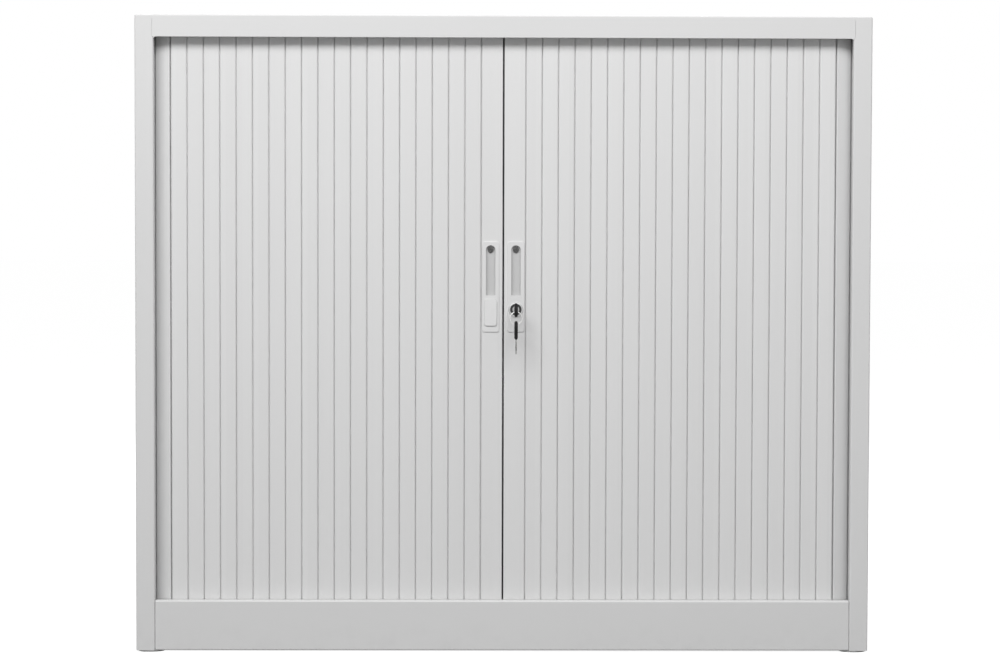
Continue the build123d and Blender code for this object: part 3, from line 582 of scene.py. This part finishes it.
def lock_chrome(base, seal, axis_x, axis_z, face_y, barrel_radius):
    """Satin chrome with the hairlines that keys leave, and painted shade in black in the groove round the
    barrel.
    """
    chrome = Finish("lock_chrome")
    hairlines = chrome.band(chrome.noise(1.0, detail=4.0, stretch=(2600.0, 300.0, 900.0)), 0.5, 0.72)
    cloud = chrome.noise(90.0, detail=2.0)
    across = chrome.axis("X") - axis_x
    up = chrome.axis("Z") - axis_z
    reach = (across * across + up * up).root() - barrel_radius
    # Painted shade: black laid in the groove ring round the barrel, in front of its back
    groove = chrome.band(reach, *GROOVE_SHADE_INNER_EDGE) * (1.0 - chrome.band(reach, *GROOVE_SHADE_OUTER_EDGE))
    groove_shade_mask = groove * (1.0 - chrome.band(chrome.axis("Y") - face_y, *GROOVE_SHADE_BACK))
    plated = chrome.blend(cloud, shade(base, 0.94), base)
    return chrome.surface({
        "Base Color": chrome.blend(groove_shade_mask, plated, seal),
        "Metallic": 1.0 - groove_shade_mask,
        "Roughness": 0.44 + 0.10 * hairlines + 0.04 * cloud + 0.10 * groove_shade_mask,
        "Normal": chrome.relief(hairlines, depth=0.000006, strength=0.4),
    })


def brushed_nickel(name, base):
    """Nickel-plated steel, brushed lengthways and rubbed dull on its high spots."""
    nickel = Finish(name)
    brush = nickel.noise(1.0, detail=3.0, stretch=(2400.0, 2400.0, 160.0))
    rub = nickel.band(nickel.noise(260.0, detail=2.0), 0.42, 0.66)
    return nickel.surface({
        "Base Color": nickel.blend(0.5 * brush + 0.4 * rub, shade(base, 0.86), shade(base, 1.08)),
        "Metallic": 0.98,
        "Roughness": 0.24 + 0.12 * brush + 0.06 * rub,
        "Normal": nickel.relief(brush, depth=0.00001, strength=0.5),
    })


def black_oxide(base):
    """Oiled black oxide, worn a little bright by the screwdriver."""
    oxide = Finish("black_oxide")
    wear = oxide.band(oxide.noise(900.0, detail=3.0), 0.52, 0.75)
    cloud = oxide.noise(1500.0, detail=2.0)
    return oxide.surface({
        "Base Color": oxide.blend(0.6 * wear, shade(base, 0.8), BARE_STEEL),
        "Metallic": 0.9,
        "Roughness": 0.30 + 0.14 * cloud,
        "Normal": oxide.relief(cloud, depth=0.00002, strength=0.4),
    })


# ------------------------------------------------------------------ operators


class CABINET_OT_hang_curtains(bpy.types.Operator):
    """Model the flat slats of both shutters and hang each curtain on its shutter's body"""

    bl_idname = "cabinet.hang_curtains"
    bl_label = "Hang the Curtains"

    def execute(self, context):
        sizes = context.scene.curtain_sizes
        colours = context.scene.cabinet_colours
        low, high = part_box("left_curtain_slats")
        pitch = (high.x - low.x + sizes.gap) / CURTAIN_SLATS
        material = slat_plastic(colours.slat, pitch)
        for side_name, side in SIDES:
            curtain = self.model_curtain(sizes, side_name, side, pitch)
            curtain.data.materials.clear()
            curtain.data.materials.append(material)
            body = f"{side_name}_shutter"
            joint = f"{side_name}_shutter_slide"
            low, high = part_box(f"{side_name}_curtain_slats")
            reach = high.x - low.x
            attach(curtain, body)
            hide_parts(f"{side_name}_curtain_slats")
            1 - travel_of(joint) / reach
            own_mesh(curtain)
        dress(SLATS, material)
        return {"FINISHED"}

    def model_curtain(self, sizes, side_name, side, pitch):
        """All the flat slats of one shutter as one mesh, of which the last has no tongue."""
        linked = self.model_slat(sizes, side_name, side, pitch)
        take(linked)
        bpy.ops.object.duplicate()
        last = bpy.context.object
        bpy.ops.transform.translate(value=(side * pitch * (CURTAIN_SLATS - 1), 0, 0))
        bpy.ops.object.transform_apply(location=True, rotation=True, scale=True)
        self.add_tongue(sizes, linked, side)
        repeat = linked.modifiers.new("Slats", "ARRAY")
        repeat.count = CURTAIN_SLATS - 1
        repeat.use_relative_offset = False
        repeat.use_constant_offset = True
        repeat.constant_offset_displace = (side * pitch, 0, 0)
        take(linked)
        bpy.ops.object.modifier_apply(modifier=repeat.name)
        last.select_set(True)
        bpy.ops.object.join()
        curtain = bpy.context.object
        curtain.name = f"{side_name}_curtain"
        curtain.data.name = curtain.name
        smooth(curtain, degrees=40)
        return curtain

    def tongue_depth(self, sizes):
        """How far back the middle of every tongue lies."""
        low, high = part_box("left_curtain_slats")
        return (low.y + high.y) / 2 + sizes.tongue_back

    def model_slat(self, sizes, side_name, side, pitch):
        """The slat beside the lead slat, with lips in front and a socket in its inner side."""
        low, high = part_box(f"{side_name}_curtain_slats")
        face = pitch - sizes.gap
        body = pitch - sizes.groove
        inner = high.x if side < 0 else low.x
        middle = inner + side * face / 2
        front, back = low.y, high.y
        slat = add_block(
            f"{side_name}_slat",
            (middle - body / 2, front + sizes.lip, low.z),
            (middle + body / 2, back, high.z),
        )
        pick_faces(slat, lambda centre, normal: normal.y < -0.9)
        push_out(0, 0, 0)
        bpy.ops.transform.resize(value=(face / body, 1, 1))
        push_out(0, -sizes.lip, 0)
        for y, radius, segments in ((front, sizes.lip_radius, 5), (back, sizes.back_radius, 3)):
            pick_edges(slat, lambda a, b: near(a.y, y) and near(b.y, y) and near(a.x, b.x))
            bpy.ops.mesh.bevel(offset=radius, segments=segments, affect="EDGES")
        link = self.tongue_depth(sizes)
        half = sizes.tongue / 2
        for y in (link - half - sizes.play, link - half, link + half, link + half + sizes.play):
            cut_across((0, y, 0), (0, 1, 0))
        mouth = middle - side * body / 2
        pick_faces(
            slat,
            lambda centre, normal: near(centre.x, mouth) and abs(centre.y - link) < half + sizes.play,
        )
        push_out(side * (sizes.grip + sizes.play), 0, 0)
        bpy.ops.mesh.select_all(action="SELECT")
        bpy.ops.mesh.normals_make_consistent(inside=False)
        bpy.ops.object.mode_set(mode="OBJECT")
        return slat

    def add_tongue(self, sizes, slat, side):
        """Extrude the tongue that reaches into the next slat's socket."""
        link = self.tongue_depth(sizes)
        edge = max(side * face.center.x for face in slat.data.polygons if near(face.center.y, link))
        take(slat)
        pick_faces(
            slat,
            lambda centre, normal: near(side * centre.x, edge) and abs(centre.y - link) < sizes.tongue / 2,
        )
        push_out(side * (sizes.groove + sizes.grip), 0, 0)
        bpy.ops.object.mode_set(mode="OBJECT")


class CABINET_OT_finish_carcass(bpy.types.Operator):
    """Powder-coat the sheet steel, and finish the tracks, their stops and the guide shoes"""

    bl_idname = "cabinet.finish_carcass"
    bl_label = "Finish the Carcass"

    def execute(self, context):
        colours = context.scene.cabinet_colours
        dress(SHEET_STEEL, powder_coat(colours.paint))
        dress(GUIDES, guide_plastic(colours.guide))
        return {"FINISHED"}


class CABINET_OT_finish_handles(bpy.types.Operator):
    """Finish the handle mouldings, their cap and their screws"""

    bl_idname = "cabinet.finish_handles"
    bl_label = "Finish the Handles"

    def execute(self, context):
        colours = context.scene.cabinet_colours
        low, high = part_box("right_handle")
        pull_middle = (low.z + 2 * high.z) / 3
        plate_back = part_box("right_lead_slat")[0].y
        dress(HANDLES, handle_moulding("handle_moulding", colours.handle, pull_middle, plate_back))
        dress(("left_lock_cap",), handle_moulding("cap_moulding", colours.cap, pull_middle, plate_back))
        dress(HANDLE_SCREWS, black_oxide(colours.black_oxide))
        return {"FINISHED"}


class CABINET_OT_finish_lock(bpy.types.Operator):
    """Finish the lock, the keys and their ring"""

    bl_idname = "cabinet.finish_lock"
    bl_label = "Finish the Lock and Keys"

    def execute(self, context):
        colours = context.scene.cabinet_colours
        low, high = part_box("lock_barrel")
        chrome = lock_chrome(
            colours.chrome,
            colours.seal,
            axis_x=(low.x + high.x) / 2,
            axis_z=(low.z + high.z) / 2,
            face_y=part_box("lock_housing")[0].y,
            barrel_radius=(high.z - low.z) / 2,
        )
        dress(LOCK_PARTS, chrome)
        # Painted shade: the blades' nickel is a darker copy of the ring's
        dress(KEY_BLADES, brushed_nickel("shaded_blade_nickel", colours.blade))
        dress(("key_ring",), brushed_nickel("ring_nickel", colours.ring))
        bow_plastic = grained_moulding(
            "key_bow_plastic", colours.key_black, grain_scale=2400.0, mottle=0.3, dusty=0.0
        )
        dress(KEY_BOWS, bow_plastic)
        return {"FINISHED"}


class CABINET_OT_finish_fittings(bpy.types.Operator):
    """Finish the zinc-plated fittings and the feet"""

    bl_idname = "cabinet.finish_fittings"
    bl_label = "Finish the Fittings and Feet"

    def execute(self, context):
        colours = context.scene.cabinet_colours
        dress(ZINC_FITTINGS, zinc_plate(colours.zinc))
        foot_plastic = grained_moulding(
            "foot_plastic", colours.foot, grain_scale=900.0, mottle=0.06, dusty=0.25
        )
        dress(FOOT_PADS, foot_plastic)
        return {"FINISHED"}


class CABINET_OT_set_stage(bpy.types.Operator):
    """Lay the floor, light the cabinet softly and set the camera"""

    bl_idname = "cabinet.set_stage"
    bl_label = "Set the Stage"

    def execute(self, context):
        stage = context.scene.stage_settings
        context.scene.view_settings.view_transform = "Standard"
        self.lay_floor(stage)
        self.light_sky(context.scene, stage)
        aim = LAMP_AIM * cad_high.z
        self.hang_lamp("key_lamp", stage.key_place, stage.key_power, (0.0, cad_low.y, aim))
        self.hang_lamp("rear_lamp", stage.rear_place, stage.rear_power, (0.0, cad_high.y, aim))
        self.place_camera(context.scene, stage)
        return {"FINISHED"}

    def lay_floor(self, stage):
        """A pale floor that takes the cabinet's shadow, and glows where it is seen directly."""
        start_clean()
        bpy.ops.mesh.primitive_circle_add(
            vertices=FLOOR_SIDES, radius=FLOOR_RADIUS, fill_type="NGON", location=(0, 0, 0)
        )
        floor = bpy.context.object
        floor.name = "studio_floor"
        pale = Finish("studio_floor")
        tone = stage.floor_tone
        matte = pale.add("ShaderNodeBsdfDiffuse", {}, {"Color": (tone, tone, tone, 1.0)})
        glow = stage.floor_glow * pale.seen_directly()
        white = pale.add("ShaderNodeEmission", {}, {"Color": WHITE, "Strength": glow})
        both = pale.add("ShaderNodeAddShader", {}, {0: matte, 1: white})
        pale.add("ShaderNodeOutputMaterial", {}, {"Surface": both})
        floor.data.materials.append(pale.material)

    def light_sky(self, scene, stage):
        """An even, dim light from all round, which is white where it is seen directly."""
        scene.world = bpy.data.worlds.new("studio_sky")
        scene.world.use_nodes = True
        sky = Nodes(scene.world.node_tree)
        strength = stage.sky + (1.0 - stage.sky) * sky.seen_directly()
        light = sky.add("ShaderNodeBackground", {}, {"Color": WHITE, "Strength": strength})
        sky.add("ShaderNodeOutputWorld", {}, {"Surface": light})

    def hang_lamp(self, name, place, power, target):
        """A wide lamp that shines at a target."""
        start_clean()
        towards = [b - a for a, b in zip(place, target)]
        bpy.ops.object.light_add(type="AREA", location=place, rotation=look_along(towards))
        lamp = bpy.context.object
        lamp.name = name
        lamp.data.shape = "RECTANGLE"
        lamp.data.size, lamp.data.size_y = LAMP_SIZE
        lamp.data.energy = power

    def place_camera(self, scene, stage):
        """The camera that looks at the front."""
        start_clean()
        bpy.ops.object.camera_add(location=stage.camera_place, rotation=stage.camera_turn)
        camera = bpy.context.object
        camera.name = "studio_camera"
        camera.data.sensor_width = SENSOR_WIDTH
        camera.data.lens = stage.lens
        camera.data.clip_end = FARTHEST_SEEN
        scene.camera = camera


class CABINET_PT_panel(bpy.types.Panel):
    """Everything that builds the dressed cabinet"""

    bl_idname = "CABINET_PT_panel"
    bl_label = "Roller Shutter Cabinet"
    bl_space_type = "VIEW_3D"
    bl_region_type = "UI"
    bl_category = "Cabinet"

    def draw(self, context):
        scene = context.scene
        for group in (scene.curtain_sizes, scene.cabinet_colours, scene.stage_settings):
            box = self.layout.box()
            for key in group.__annotations__:
                box.prop(group, key)
        for operator in OPERATORS:
            self.layout.operator(operator.bl_idname)


OPERATORS = (
    CABINET_OT_hang_curtains,
    CABINET_OT_finish_carcass,
    CABINET_OT_finish_handles,
    CABINET_OT_finish_lock,
    CABINET_OT_finish_fittings,
    CABINET_OT_set_stage,
)
CLASSES = (CurtainSizes, CabinetColours, StageSettings, *OPERATORS, CABINET_PT_panel)


def register():
    for each in CLASSES:
        bpy.utils.register_class(each)
    bpy.types.Scene.curtain_sizes = bpy.props.PointerProperty(type=CurtainSizes)
    bpy.types.Scene.cabinet_colours = bpy.props.PointerProperty(type=CabinetColours)
    bpy.types.Scene.stage_settings = bpy.props.PointerProperty(type=StageSettings)


def unregister():
    del bpy.types.Scene.stage_settings
    del bpy.types.Scene.cabinet_colours
    del bpy.types.Scene.curtain_sizes
    for each in reversed(CLASSES):
        bpy.utils.unregister_class(each)


def main():
    """Build the whole dressed cabinet."""
    register()
    bpy.ops.cabinet.hang_curtains()
    bpy.ops.cabinet.finish_carcass()
    bpy.ops.cabinet.finish_handles()
    bpy.ops.cabinet.finish_lock()
    bpy.ops.cabinet.finish_fittings()
    bpy.ops.cabinet.set_stage()


if __name__ == "__main__":
    main()
